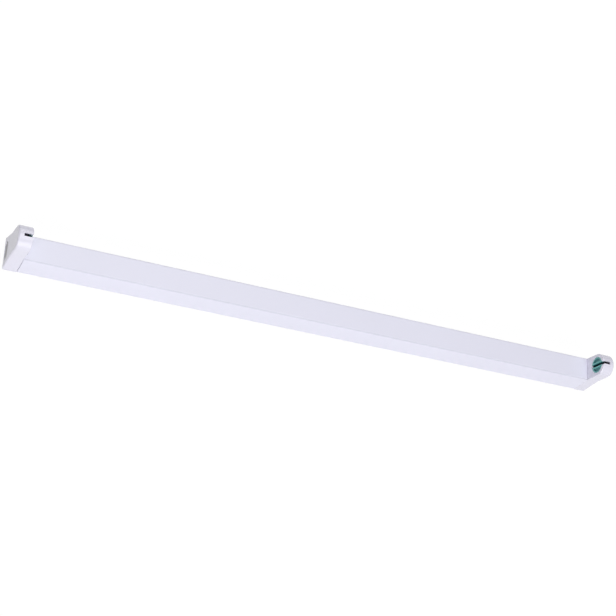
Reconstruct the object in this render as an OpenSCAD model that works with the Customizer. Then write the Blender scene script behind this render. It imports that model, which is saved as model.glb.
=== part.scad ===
// Batten for one 600 mm T8 tube, shown empty and lying on its back.
// X runs along the tube, +Y is the far side, +Z is the tube's side.
// The origin is the centre of the mounting face.

/* [Body] */
// Distance between the facing faces of the two lamp holders
lamp_gap = 591; // [420:1:1500]
// Width of the channel's flat front, and of the lamp holders on it
front_w = 23; // [22.5:0.5:27]
// Width of the channel at the mounting face
base_w = 30; // [29.5:0.5:38]
// Height of the channel's front above the mounting face
channel_h = 24; // [20:0.5:30]
// Thickness of the channel's steel sheet
sheet_t = 0.6; // [0.4:0.1:0.8]
// Outside radius of the folds along the channel's front
fold_r = 1.6; // [0.9:0.1:2]
// Outside radius of the folds along its lips
lip_fold_r = 0.9; // [0.8:0.1:1.6]
// Width of the channel's inturned lips
lip_w = 2.4; // [2.2:0.1:3]

/* [Back plate] */
// Thickness of the back plate
plate_t = 0.8; // [0.6:0.1:1]
// Height of the back plate's upturned edges above the mounting face
edge_h = 6; // [4.5:0.5:6]
// Height by which the pads under the screws are pressed up
pad_rise = 2; // [1.6:0.1:2.4]
// Distance between the centres of the two fixing slots
fixing_span = 400; // [200:1:500]
// Width of a fixing slot
slot_d = 5; // [4:0.1:6]
// Length of a fixing slot, end to end
slot_l = 9; // [7:0.5:14]
// Place of the cable entry along the plate
entry_x = 60; // [55:1:120]
// Bore of the cable entry's grommet
entry_d = 8; // [5:0.5:9]

/* [Lamp holders] */
// Height of the tube's axis above the channel's front
axis_h = 16; // [15:0.5:24]
// Thickness of each lamp holder along the tube
holder_t = 13; // [12.5:0.5:16]
// Wall of the end caps
cap_wall = 1.4; // [1:0.1:1.5]
// Thickness of the wall round the rotor
face_wall = 2; // [1.6:0.1:2.4]
// Thickness of the plate that closes each end
end_plate_t = 1.6; // [1.2:0.1:2]
// Radius of the caps' rounded edges
edge_r = 0.8; // [0.4:0.1:0.9]
// Length of the part of a cap that goes inside the channel
spigot_l = 8; // [5:0.5:10]
// Length of the foot by which a cap is screwed down
foot_l = 20; // [19:0.5:28]
// Width of that foot
foot_w = 14; // [9:0.5:14]
// Thickness of that foot
foot_t = 2.2; // [1.6:0.1:3]
// Width of the cable entry in each end plate
seal_w = 17; // [12:0.5:20]
// Height of that entry
seal_h = 9; // [6:0.5:10]
// Height of its middle above the mounting face
seal_z = 8; // [7.5:0.5:12]

/* [Rotors] */
// Diameter of a rotor's face
rotor_d = 16.4; // [15.6:0.1:18.6]
// Width of the slot that takes the tube's pins
pin_slot = 2.8; // [2.7:0.1:3.4]
// Depth of that slot from the holder's face
pin_depth = 8.2; // [7.6:0.1:8.4]
// Diameter of the rotor's hub behind its face
hub_d = 14; // [12:0.1:14.2]
// Diameter of the rotor's axle
axle_d = 5; // [3:0.1:6]
// Depth of the two pockets in a rotor's face
pocket = 1.6; // [0.3:0.1:1.8]

/* [Contacts] */
// Thickness of the contact strip
contact_t = 0.4; // [0.3:0.05:0.5]
// Width of the contact strip
contact_w = 4.8; // [4:0.1:4.8]
// Half the distance between the two contacts' feet
contact_y = 8; // [7.9:0.1:8.4]

/* [Wiring] */
// Outside diameter of a lead
lead_d = 2.2; // [1.6:0.1:2.4]
// Diameter of a lead's copper
wire_d = 1.2; // [0.8:0.1:1.4]
// Distance between the poles of the terminal block
pole_pitch = 8; // [8:0.1:8.4]
// Length of the terminal block's poles
pole_l = 16; // [15:0.5:20]
// Place of the terminal block along the plate
block_x = 18; // [16:1:24]
// Place of the earth screw along the plate
earth_x = -14; // [-18:1:-13]

/* [Clearances] */
// Gap between pieces that slip together
slip = 0.2; // [0.1:0.05:0.3]
// Running gap round the rotor's face and axle
run = 0.06; // [0.02:0.01:0.1]
// Gap round a screw or a wire in its hole
hole_gap = 0.1; // [0.05:0.05:0.2]

/* [Hidden] */
$fn = 64;

WHITE_STEEL = [0.90, 0.90, 0.96];
ZINC = [0.72, 0.74, 0.77];
WHITE_PLASTIC = [0.92, 0.90, 0.96];
TEAL = [0.30, 0.62, 0.60];
BRONZE = [0.78, 0.60, 0.34];
CLEAR_PLASTIC = [0.88, 0.89, 0.86];
COPPER = [0.80, 0.48, 0.30];

// The section: slope of its sides, and the length of a slanted unit
slope = (base_w - front_w) / 2 / channel_h;
slant = sqrt(1 + slope * slope);
end_x = lamp_gap / 2;
axis_z = channel_h + axis_h;
head_r = front_w / 2;

// The back plate's joggle, which lifts its edges over the channel's lips
lift = sheet_t + slip / 2;
bend_r = max(0.7, lip_fold_r - sheet_t - slip / 2 - plate_t / 2);
edge_inset = sheet_t + slip + plate_t / 2;
rise_y = base_w / 2 - lip_w - 0.5;
web_y = rise_y - 1.2;
seat_z = plate_t + pad_rise;
screw_pad = 9;
block_pad = 15;
entry_pad = 16;

// Screws, and the grommet's waist
cap_screw_r = 1.7;
block_screw_r = 1.3;
earth_screw_r = 1.9;
grub_r = 1.25;
grommet_waist_r = entry_d / 2 + 2;

// The end caps, in a frame whose X starts at the holder's face and points away from the tube
plate_x = holder_t - end_plate_t;
chamber_r = head_r - cap_wall;
cap_floor = 1.6;
foot_top = seat_z + foot_t;
foot_screw_x = 6 - foot_l;
spigot_inset = sheet_t + slip;
pin_lead = 1.2;
seal_rim = 1.2;

// The rotor, along the same X
rotor_front = 0.3;
flange_x = face_wall + slip;
flange_t = 1;
flange_r = chamber_r - slip;
hub_x = flange_x + flange_t;
hub_end = plate_x - 2.2;
bush_x = hub_end + slip;
bush_r = axle_d / 2 + 1.7;
axle_end = plate_x + 0.2;
rib_w = 1.8;

// The contacts stand in sockets on the cap's floor
contact_x = hub_x + 0.4;
socket_top = channel_h - 3;
contact_foot = 9;
wire_z = contact_foot + 5;
wire_y = contact_y - contact_t / 2 - wire_d / 2;
socket_in = wire_y - wire_d / 2 - 0.7;
socket_out = contact_y + contact_t / 2 + 1.2;
wire_in = 7;

// The terminal block
pole_z = seat_z + 5;
barrel_r = 3.3;
tower_r = 2.7;
tower_x = 4.2;
tower_h = 11.2;
insert_r = 2.2;
insert_l = pole_l - 2;
block_screw_z = pole_z + barrel_r;

// The leads' runs, with routes chosen by hand
lead_y = web_y - 2.2;
lead_z = plate_t + 2.4;
fan_start = pole_l / 2 + 8;
fan_end = fan_start + 12;
climb_l = 12;
clip_l = 5;
clip_step = 80;
clip_from = block_x - fan_end - clip_step;
clip_count = floor((end_x - foot_l - climb_l + clip_from) / clip_step) + 1;
tag_t = 0.8;
washer_t = 0.6;
tag_ring_r = 3.8;
tag_barrel_r = lead_d / 2 + hole_gap + 0.5;
tag_barrel_x = earth_x + 5;
tag_barrel_l = 6;
tag_z = seat_z + tag_barrel_r;
bare_l = 6;

function unit(v) = v / norm(v);

// Points that round the corner b between a and c with radius r
function corner(a, b, c, r, n) =
    let (u = unit(a - b), v = unit(c - b), half = acos(u * v) / 2)
    let (mid = b + unit(u + v) * r / sin(half), cut = r / tan(half), turn = 180 - 2 * half)
    let (p = b + u * cut - mid, q = b + v * cut - mid)
    [for (i = [0:n]) mid + (p * sin(turn * (1 - i / n)) + q * sin(turn * i / n)) / sin(turn)];

// An open path with its corners rounded by one radius, or by a list with one for each point
function soften(path, r, n = 4) =
    let (last = len(path) - 1)
    [
        path[0],
        for (i = [1:last - 1]) each corner(path[i - 1], path[i], path[i + 1], is_list(r) ? r[i] : r, n),
        path[last]
    ];

// The point of a path's side at distance d from it
function beside(path, i, d) =
    let (last = len(path) - 1)
    let (a = i > 0 ? unit(path[i] - path[i - 1]) : unit(path[1] - path[0]))
    let (b = i < last ? unit(path[i + 1] - path[i]) : a)
    let (m = unit(a + b))
    path[i] + [-m[1], m[0]] * d / (m * a);

// The outline of a strip of thickness t that follows a path through its middle
function strip(path, t) =
    let (last = len(path) - 1)
    concat(
        [for (i = [0:last]) beside(path, i, t / 2)],
        [for (i = [last:-1:0]) beside(path, i, -t / 2)]
    );

// Half the section's width at height z, at a depth below its outer face
function side_y(z, inset = 0) = base_w / 2 - slope * z - inset * slant;

// The height at which the slanted side, at a depth, meets the holder's upright side
function shoulder_z(inset) = (base_w / 2 - head_r - inset * (slant - 1)) / slope;

function mirrored(half) = concat([for (p = half) [-p[0], p[1]]], [for (i = [len(half) - 1:-1:0]) half[i]]);

// Directions across a path in space, each turned as little as possible from the one before
function across(path, dirs) =
    [
        for (i = 0, n = unit(cross(dirs[0], [0.3, 0.5, 0.8]));
            i < len(path);
            i = i + 1, n = i < len(path) ? unit(n - (n * dirs[i]) * dirs[i]) : n) n
    ];

// Extrudes a shape drawn in Y and Z along X
module along_x(x0, x1) {
    translate([x0, 0, 0]) rotate([90, 0, 90]) linear_extrude(x1 - x0) children();
}

// A cylinder along X
module rod_x(x0, x1, r, y = 0, z = 0) {
    translate([x0, y, z]) rotate([0, 90, 0]) cylinder(h = x1 - x0, r = r);
}

// Puts a piece made for the right end at either end
module at_end(side) {
    rotate([0, 0, side > 0 ? 0 : 180]) translate([end_x, 0, 0]) children();
}

// A round tube swept along a path in space
module swept(path, r, sides = 8) {
    last = len(path) - 1;
    dirs = [for (i = [0:last]) unit(path[min(i + 1, last)] - path[max(i - 1, 0)])];
    normals = across(path, dirs);
    points = [
        for (i = [0:last], j = [0:sides - 1])
            let (a = 360 * j / sides)
            path[i] + r * (cos(a) * normals[i] + sin(a) * cross(dirs[i], normals[i]))
    ];
    skin = [
        for (i = [0:last - 1], j = [0:sides - 1])
            let (a = i * sides + j, b = i * sides + (j + 1) % sides)
            each [[a, a + sides, b + sides], [a, b + sides, b]]
    ];
    ends = [
        for (j = [1:sides - 2])
            each [[0, j, j + 1], [last * sides, last * sides + j + 1, last * sides + j]]
    ];
    polyhedron(points = points, faces = concat(skin, ends), convexity = 6);
}

// A pan-head screw that points down, with the underside of its head at the origin
module pan_screw(r, length) {
    head_r = 1.8 * r;
    head_h = 1.15 * r;
    difference() {
        union() {
            translate([0, 0, -length]) cylinder(h = length, r = r);
            cylinder(h = head_h * 0.45, r = head_r);
            translate([0, 0, head_h * 0.45]) cylinder(h = head_h * 0.55, r1 = head_r, r2 = head_r * 0.62);
        }
        for (a = [0, 90]) {
            rotate([0, 0, a]) translate([-head_r * 0.55, -head_r * 0.11, head_h * 0.4])
                cube([head_r * 1.1, head_r * 0.22, head_h]);
        }
    }
}

// The folded steel cover: flat front, slanted sides and lips that clip under the back plate
module channel() {
    half = [
        [base_w / 2 - lip_w, sheet_t / 2],
        [side_y(sheet_t / 2, sheet_t / 2), sheet_t / 2],
        [side_y(channel_h - sheet_t / 2, sheet_t / 2), channel_h - sheet_t / 2]
    ];
    lip_r = lip_fold_r - sheet_t / 2;
    front_r = fold_r - sheet_t / 2;
    radii = [0, lip_r, front_r, front_r, lip_r, 0];
    color(WHITE_STEEL)
        along_x(slip - end_x, end_x - slip) polygon(strip(soften(mirrored(half), radii), sheet_t));
}

// The pressed-up pads of the back plate, or with skin = false the hollows under them
module pads(skin) {
    for (pad = [
        [foot_screw_x + end_x, screw_pad], [-foot_screw_x - end_x, screw_pad],
        [block_x, block_pad], [earth_x, screw_pad], [entry_x, entry_pad]
    ]) {
        r = pad[1] / 2 + (skin ? 0 : plate_t * (1 - sqrt(2)));
        h = skin ? seat_z : pad_rise;
        sink = skin ? 0 : 1;
        translate([pad[0], 0, -sink]) cylinder(h = h + sink, r1 = r + h + sink, r2 = r);
    }
}

// The steel strip that is screwed to the ceiling or wall and carries everything else
module back_plate() {
    half = [
        [side_y(edge_h, edge_inset), edge_h],
        [side_y(plate_t / 2 + lift, edge_inset), plate_t / 2 + lift],
        [rise_y, plate_t / 2 + lift],
        [web_y, plate_t / 2]
    ];
    far_side = [for (i = [3:-1:0]) half[i]];
    near_side = [for (p = half) [-p[0], p[1]]];
    color(ZINC) difference() {
        union() {
            along_x(2.5 * slip - end_x, end_x - 2.5 * slip)
                polygon(strip(soften(concat(near_side, far_side), bend_r, 3), plate_t));
            pads(true);
        }
        pads(false);
        for (x = [-fixing_span / 2, fixing_span / 2]) {
            run_l = slot_l - slot_d;
            for (dx = [-run_l / 2, run_l / 2]) {
                translate([x + dx, 0, -1]) cylinder(h = seat_z + 1, d = slot_d);
            }
            translate([x - run_l / 2, -slot_d / 2, -1]) cube([run_l, slot_d, seat_z + 1]);
        }
        for (side = [-1, 1]) {
            translate([side * (end_x + foot_screw_x), 0, 0])
                cylinder(h = seat_z + 1, r = cap_screw_r + hole_gap);
            translate([block_x, side * pole_pitch / 2, 0])
                cylinder(h = seat_z + 1, r = block_screw_r + hole_gap);
        }
        translate([earth_x, 0, 0]) cylinder(h = seat_z + 1, r = earth_screw_r + hole_gap);
        translate([entry_x, 0, 0]) cylinder(h = seat_z + 1, r = grommet_waist_r + hole_gap);
    }
}

// The cap's end view at a depth below its outer face, down to a floor
module tombstone(inset, floor_z) {
    z = shoulder_z(inset);
    polygon([
        [-side_y(floor_z, inset), floor_z], [side_y(floor_z, inset), floor_z],
        [head_r - inset, z], [head_r - inset, axis_z],
        [inset - head_r, axis_z], [inset - head_r, z]
    ]);
    translate([0, axis_z]) circle(r = head_r - inset, $fn = 96);
}

// The cap's plan, rounded at its two ends
function plan(w, r_in, r_out) =
    let (a = [0, -w / 2], b = [holder_t, -w / 2], c = [holder_t, w / 2], d = [0, w / 2])
    concat(
        corner(d, a, b, r_in, 4), corner(a, b, c, r_out, 4),
        corner(b, c, d, r_out, 4), corner(c, d, a, r_in, 4)
    );

module cap_form() {
    seam_r = 0.3;
    profile = concat(
        [[0, 0]],
        corner([0, 0], [head_r, 0], [head_r, holder_t], edge_r, 4),
        corner([head_r, 0], [head_r, holder_t], [0, holder_t], edge_r, 4),
        [[0, holder_t]]
    );
    translate([0, 0, axis_z]) rotate([0, 90, 0]) rotate_extrude($fn = 96) polygon(profile);
    translate([0, 0, channel_h - 1]) linear_extrude(axis_h + 1) polygon(plan(front_w, edge_r, edge_r));
    hull() {
        linear_extrude(0.01) polygon(plan(base_w, seam_r, edge_r));
        translate([0, 0, channel_h - 0.01]) linear_extrude(0.01) polygon(plan(front_w, seam_r, edge_r));
    }
}

// The inverted U that goes inside the channel
module spigot() {
    middle = spigot_inset + cap_wall / 2;
    z0 = edge_h + 0.5;
    z1 = channel_h - middle;
    half = [[side_y(z0, middle), z0], [side_y(z1, middle), z1]];
    r = cap_wall / 2 + max(0.1, fold_r - spigot_inset - cap_wall + 0.5);
    along_x(-spigot_l, face_wall + 1) polygon(strip(soften(mirrored(half), r), cap_wall));
}

// The long round form of the cable entry in an end plate, grown or shrunk
module entry_form(x0, x1, grow) {
    r = seal_h / 2 + grow;
    y = (seal_w - seal_h) / 2;
    for (s = [-1, 1]) rod_x(x0, x1, r, s * y, seal_z);
    translate([x0, -y, seal_z - r]) cube([x1 - x0, 2 * y, 2 * r]);
}

// The slot that lets the pins in from above, with its mouth widened at the holder's face
module pin_entry() {
    wide = pin_slot / 2 + pin_lead;
    translate([-1, -pin_slot / 2, axis_z]) cube([pin_depth + 1, pin_slot, head_r + 1]);
    translate([0, 0, axis_z]) linear_extrude(head_r + 1) polygon([
        [-1, -wide], [0, -wide], [pin_lead, -pin_slot / 2],
        [pin_lead, pin_slot / 2], [0, wide], [-1, wide]
    ]);
}

// One end cap with its lamp holder, hollow, open behind and towards the channel
module cap() {
    color(WHITE_PLASTIC) difference() {
        union() {
            difference() {
                cap_form();
                along_x(face_wall, holder_t + 1) tombstone(cap_wall, cap_floor);
                along_x(-1, face_wall + 0.5) polygon([
                    [-side_y(foot_top, cap_wall), foot_top], [side_y(foot_top, cap_wall), foot_top],
                    [side_y(channel_h - cap_wall, cap_wall), channel_h - cap_wall],
                    [-side_y(channel_h - cap_wall, cap_wall), channel_h - cap_wall]
                ]);
            }
            spigot();
            translate([-foot_l, -foot_w / 2, seat_z]) cube([foot_l + 1, foot_w, foot_t]);
            for (s = [-1, 1]) {
                translate([0.5, s > 0 ? socket_in : -socket_out, cap_floor - 0.5])
                    cube([contact_x + contact_w + 0.7, socket_out - socket_in, socket_top - cap_floor + 0.5]);
            }
        }
        along_x(plate_x, holder_t + 1) tombstone(edge_r, edge_r);
        rod_x(-1, face_wall + 1, rotor_d / 2 + run, 0, axis_z);
        pin_entry();
        translate([foot_screw_x, 0, 0]) cylinder(h = foot_top + 1, r = cap_screw_r + slip);
        for (s = [-1, 1]) {
            translate([contact_x - hole_gap, s * contact_y - contact_t / 2 - hole_gap, contact_foot])
                cube([contact_w + 2 * hole_gap, contact_t + 2 * hole_gap, socket_top]);
            rod_x(0, wire_in + hole_gap, wire_d / 2 + hole_gap, s * wire_y, wire_z);
        }
    }
}

// The plate that closes a cap behind and carries the rotor's axle
module end_plate() {
    color(WHITE_PLASTIC) difference() {
        union() {
            along_x(plate_x, holder_t) tombstone(edge_r + slip / 2, edge_r + slip / 2);
            rod_x(bush_x, plate_x + 0.5, bush_r, 0, axis_z);
        }
        rod_x(bush_x - 1, axle_end + slip, axle_d / 2 + run, 0, axis_z);
        entry_form(plate_x - 1, holder_t + 1, 0);
    }
}

// The rotor that takes the tube's two pins and turns them onto the contacts
module rotor() {
    color(TEAL) difference() {
        union() {
            rod_x(rotor_front, flange_x + 0.1, rotor_d / 2, 0, axis_z);
            rod_x(flange_x, hub_x, flange_r, 0, axis_z);
            rod_x(hub_x - 0.1, hub_end, hub_d / 2, 0, axis_z);
            rod_x(hub_end - 0.1, axle_end, axle_d / 2, 0, axis_z);
        }
        translate([-1, -pin_slot / 2, axis_z - head_r]) cube([pin_depth + 1, pin_slot, 2 * head_r]);
        difference() {
            rod_x(rotor_front - 1, rotor_front + pocket, rotor_d / 2 - 1.3, 0, axis_z);
            translate([-1, -pin_slot / 2 - rib_w, axis_z - head_r])
                cube([pocket + 3, pin_slot + 2 * rib_w, 2 * head_r]);
        }
    }
}

// One contact: a bronze strip whose bowed finger meets a pin when the rotor is turned
module contact(s) {
    path = [
        [contact_y, contact_foot], [contact_y, socket_top + 1],
        [chamber_r - 0.9, axis_z - 10], [hub_d / 2 + 0.65, axis_z], [chamber_r - 1.6, axis_z + 4]
    ];
    color(BRONZE) along_x(contact_x, contact_x + contact_w)
        polygon(strip([for (p = soften(path, 3)) [s * p[0], p[1]]], contact_t));
}

// The moulded three-pole block that joins the supply to the leads
module terminal_block() {
    color(CLEAR_PLASTIC) translate([block_x, 0, 0]) difference() {
        union() {
            translate([-pole_l / 2, -pole_pitch - barrel_r, seat_z])
                cube([pole_l, 2 * (pole_pitch + barrel_r), pole_z - seat_z - 1.8]);
            for (y = [-pole_pitch, 0, pole_pitch]) {
                rod_x(-pole_l / 2, pole_l / 2, barrel_r, y, pole_z);
                for (x = [-tower_x, tower_x]) {
                    translate([x, y, pole_z]) cylinder(h = seat_z + tower_h - pole_z, r = tower_r);
                }
            }
            for (y = [-pole_pitch / 2, pole_pitch / 2]) {
                translate([0, y, seat_z]) cylinder(h = block_screw_z - seat_z, r = 3);
            }
        }
        for (y = [-pole_pitch, 0, pole_pitch]) {
            rod_x(-insert_l / 2 - hole_gap, insert_l / 2 + hole_gap, insert_r + hole_gap, y, pole_z);
            rod_x(-pole_l, pole_l, lead_d / 2 + slip, y, pole_z);
            for (x = [-tower_x, tower_x]) {
                translate([x, y, pole_z]) cylinder(h = tower_h, r = grub_r + 0.8);
            }
        }
        for (y = [-pole_pitch / 2, pole_pitch / 2]) {
            translate([0, y, 0]) cylinder(h = tower_h + seat_z, r = block_screw_r + hole_gap);
        }
    }
}

// The brass tubes inside the block
module terminal_inserts() {
    color(BRONZE) translate([block_x, 0, 0]) for (y = [-pole_pitch, 0, pole_pitch]) {
        difference() {
            rod_x(-insert_l / 2, insert_l / 2, insert_r, y, pole_z);
            rod_x(-insert_l, insert_l, wire_d / 2 + 0.7, y, pole_z);
            for (x = [-tower_x, tower_x]) {
                translate([x, y, pole_z]) cylinder(h = tower_h, r = grub_r + hole_gap / 2);
            }
        }
    }
}

// The screws that clamp the wires in the inserts
module terminal_screws() {
    head_r = grub_r + 0.5;
    head_z = pole_z + insert_r + 0.5;
    tip_z = pole_z + wire_d / 2 + 0.05;
    color(ZINC) translate([block_x, 0, 0])
        for (y = [-pole_pitch, 0, pole_pitch], x = [-tower_x, tower_x]) {
            translate([x, y, 0]) difference() {
                union() {
                    translate([0, 0, tip_z]) cylinder(h = head_z - tip_z + 0.1, r = grub_r);
                    translate([0, 0, head_z]) cylinder(h = 1.8, r = head_r);
                }
                translate([-head_r, -0.3, head_z + 0.9]) cube([2 * head_r, 0.6, 2]);
            }
        }
}

// The two screws that hold the block on its pad
module block_screws() {
    color(ZINC) for (y = [-pole_pitch / 2, pole_pitch / 2]) {
        translate([block_x, y, block_screw_z]) pan_screw(block_screw_r, block_screw_z - 0.4);
    }
}

// The screws that hold the caps' feet on their pads
module cap_screws() {
    color(ZINC) for (side = [-1, 1]) {
        translate([side * (end_x + foot_screw_x), 0, foot_top]) pan_screw(cap_screw_r, foot_top - 0.6);
    }
}

module earth_screw() {
    z = seat_z + tag_t + washer_t;
    color(ZINC) translate([earth_x, 0, z]) pan_screw(earth_screw_r, z - 0.4);
}

// A toothed lock washer over the tag
module earth_washer() {
    teeth = 12;
    color(ZINC) translate([earth_x, 0, seat_z + tag_t]) linear_extrude(washer_t) difference() {
        circle(r = tag_ring_r);
        circle(r = earth_screw_r + hole_gap);
        for (i = [0:teeth - 1]) {
            rotate(360 * i / teeth) translate([tag_ring_r, 0]) circle(r = 0.55, $fn = 4);
        }
    }
}

// The ring tag crimped on the earth lead
module earth_tag() {
    color(ZINC) difference() {
        union() {
            translate([earth_x, 0, seat_z]) cylinder(h = tag_t, r = tag_ring_r);
            translate([earth_x, -1.5, seat_z]) cube([tag_barrel_x - earth_x + 1, 3, tag_t]);
            rod_x(tag_barrel_x, tag_barrel_x + tag_barrel_l, tag_barrel_r, 0, tag_z);
        }
        translate([earth_x, 0, 0]) cylinder(h = seat_z + 2, r = earth_screw_r + hole_gap);
        rod_x(tag_barrel_x - 1, tag_barrel_x + tag_barrel_l + 1, lead_d / 2 + hole_gap, 0, tag_z);
    }
}

// The route of a supply lead from the block to a contact in the left cap, on the side s
function supply_route(s) = [
    [block_x - pole_l / 2, s * pole_pitch, pole_z],
    [block_x - fan_start, s * pole_pitch, pole_z],
    [block_x - fan_end, s * lead_y, lead_z],
    [-end_x + foot_l + climb_l, s * lead_y, lead_z],
    [-end_x + foot_l - climb_l, s * wire_y, wire_z],
    [-end_x - 0.5, s * wire_y, wire_z]
];

module live_lead() {
    color([0.42, 0.26, 0.16]) swept(soften(supply_route(-1), 6), lead_d / 2);
}

module neutral_lead() {
    color([0.16, 0.32, 0.62]) swept(soften(supply_route(1), 6), lead_d / 2);
}

module earth_lead() {
    start = block_x - pole_l / 2;
    finish = tag_barrel_x + tag_barrel_l - 2;
    color([0.35, 0.60, 0.20]) swept(soften([
        [start, 0, pole_z], [start - 3.5, 0, pole_z], [finish + 4.5, 0, tag_z], [finish, 0, tag_z]
    ], 2), lead_d / 2);
}

// The stripped ends of the three leads, in the inserts, at the contacts and in the tag
module wire_ends() {
    color(COPPER) {
        for (y = [-pole_pitch, 0, pole_pitch]) {
            rod_x(block_x - pole_l / 2, block_x - pole_l / 2 + bare_l, wire_d / 2, y, pole_z);
        }
        for (y = [-wire_y, wire_y]) {
            rod_x(-end_x - wire_in, -end_x - 0.5, wire_d / 2, y, wire_z);
        }
        rod_x(tag_barrel_x + 0.5, tag_barrel_x + tag_barrel_l - 2, wire_d / 2, 0, tag_z);
    }
}

// Stick-on clips that hold the two supply leads on the plate
module lead_clips() {
    base_l = clip_l + 3;
    base_w = 3.8;
    ring_r = 2;
    mouth = 0.8;
    color(WHITE_PLASTIC) for (i = [0:clip_count - 1], s = [-1, 1]) {
        translate([clip_from - i * clip_step, s * lead_y, 0]) difference() {
            union() {
                translate([-base_l / 2, -base_w / 2, plate_t]) cube([base_l, base_w, 0.9]);
                rod_x(-clip_l / 2, clip_l / 2, ring_r, 0, lead_z);
            }
            rod_x(-clip_l, clip_l, lead_d / 2 + hole_gap, 0, lead_z);
            translate([-clip_l, -mouth / 2, lead_z]) cube([2 * clip_l, mouth, 2 * ring_r]);
        }
    }
}

// The rubber grommet in the cable entry
module cable_grommet() {
    lip = 1.4;
    r = entry_d / 2;
    color([0.18, 0.18, 0.19]) translate([entry_x, 0, 0]) rotate_extrude() polygon([
        [r, pad_rise - lip], [grommet_waist_r + 1.2, pad_rise - lip], [grommet_waist_r + 1.6, pad_rise - 1],
        [grommet_waist_r + 1.6, pad_rise], [grommet_waist_r, pad_rise], [grommet_waist_r, seat_z],
        [grommet_waist_r + 1.6, seat_z], [grommet_waist_r + 1.6, seat_z + 1],
        [grommet_waist_r + 1.2, seat_z + lip], [r, seat_z + lip]
    ]);
}

// The rubber seals in the two end entries, each with a rim behind the end plate and a slit
module entry_seals() {
    slit_w = seal_w - seal_h;
    slit_h = 0.6;
    color([0.62, 0.62, 0.65]) for (side = [-1, 1]) {
        at_end(side) difference() {
            union() {
                entry_form(plate_x - 0.5, holder_t - 0.3, -hole_gap);
                entry_form(plate_x - 1, plate_x, seal_rim);
            }
            translate([plate_x - 2, -slit_w / 2, seal_z - slit_h / 2]) cube([holder_t, slit_w, slit_h]);
        }
    }
}

channel();
back_plate();
at_end(-1) cap();  // left_cap
at_end(1) cap();  // right_cap
at_end(-1) end_plate();  // left_end_plate
at_end(1) end_plate();  // right_end_plate
at_end(-1) rotor();  // left_rotor
at_end(1) rotor();  // right_rotor
at_end(-1) contact(1);  // left_near_contact
at_end(-1) contact(-1);  // left_far_contact
at_end(1) contact(-1);  // right_near_contact
at_end(1) contact(1);  // right_far_contact
terminal_block();
terminal_inserts();
terminal_screws();
block_screws();
cap_screws();
earth_screw();
earth_washer();
earth_tag();
live_lead();
neutral_lead();
earth_lead();
wire_ends();
lead_clips();
cable_grommet();
entry_seals();
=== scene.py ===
import math

import bmesh
import bpy
from mathutils import Matrix, Vector


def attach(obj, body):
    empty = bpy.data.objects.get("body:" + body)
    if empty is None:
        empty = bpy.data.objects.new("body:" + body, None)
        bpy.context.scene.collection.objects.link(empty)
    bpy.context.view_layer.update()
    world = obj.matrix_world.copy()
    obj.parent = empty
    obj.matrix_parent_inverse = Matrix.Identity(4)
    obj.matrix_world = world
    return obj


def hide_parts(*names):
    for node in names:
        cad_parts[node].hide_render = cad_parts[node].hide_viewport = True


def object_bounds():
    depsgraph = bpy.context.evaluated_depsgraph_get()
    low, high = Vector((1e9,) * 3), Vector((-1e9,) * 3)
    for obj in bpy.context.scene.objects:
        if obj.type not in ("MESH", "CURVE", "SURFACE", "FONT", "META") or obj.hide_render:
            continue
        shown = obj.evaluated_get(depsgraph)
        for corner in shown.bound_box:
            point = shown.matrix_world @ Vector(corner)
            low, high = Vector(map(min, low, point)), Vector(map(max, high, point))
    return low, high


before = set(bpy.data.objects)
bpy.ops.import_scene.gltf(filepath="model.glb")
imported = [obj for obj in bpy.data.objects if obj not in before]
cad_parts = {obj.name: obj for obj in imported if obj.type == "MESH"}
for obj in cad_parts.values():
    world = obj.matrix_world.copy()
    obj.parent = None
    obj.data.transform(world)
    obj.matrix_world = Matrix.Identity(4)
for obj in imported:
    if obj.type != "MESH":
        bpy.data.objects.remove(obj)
cad_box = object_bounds()

MM = 0.001

# Sizes in millimetres, the same as the solids have
FRONT_WIDTH = 23.0
BASE_WIDTH = 30.0
CHANNEL_HEIGHT = 24.0
SHEET = 0.6
FOLD_RADIUS = 1.6
LIP_FOLD_RADIUS = 0.9
LIP_WIDTH = 2.4
HOLDER_DEPTH = 13.0
AXIS_Z = 40.0
CAP_WALL = 1.4
CAP_FLOOR = 1.6
FACE_WALL = 2.0
END_PLATE = 1.6
EDGE_RADIUS = 0.8
SPIGOT_LENGTH = 8.0
PIN_SLOT = 2.8
PIN_DEPTH = 8.2
PIN_LEAD = 1.2
ROTOR_RADIUS = 8.2
HUB_RADIUS = 7.0
AXLE_RADIUS = 2.5
ROTOR_SETBACK = 0.3
POCKET = 1.6
POCKET_BORDER = 1.3
RIB = 1.8
BUSH_WALL = 1.7
SEAL_WIDTH = 17.0
SEAL_HEIGHT = 9.0
SEAL_Z = 8.0
SEAL_RIM = 1.2
SEAL_SLIT = 0.6
SLIP = 0.2
RUNNING_GAP = 0.06
HOLE_GAP = 0.1

# Shapes that only the visual model has: crowned sides, and a larger rounding of the caps' closed ends
CROWN = 0.25
END_RADIUS = 1.5

# Lengths by which a cutter runs past a face, and by which a solid runs into the one it is welded to
RUN_OUT = 1.0
OVERLAP = 0.5

HEAD_RADIUS = FRONT_WIDTH / 2
CHAMBER_RADIUS = HEAD_RADIUS - CAP_WALL
SLOPE = (BASE_WIDTH - FRONT_WIDTH) / 2 / CHANNEL_HEIGHT
SLANT = math.sqrt(1 + SLOPE * SLOPE)
FACE_X = cad_box[1][0] / MM - HOLDER_DEPTH
PLATE_X = FACE_X + HOLDER_DEPTH - END_PLATE
END_X = FACE_X + HOLDER_DEPTH
HUB_END = PLATE_X - 2.2
AXLE_END = PLATE_X + 0.2

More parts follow.
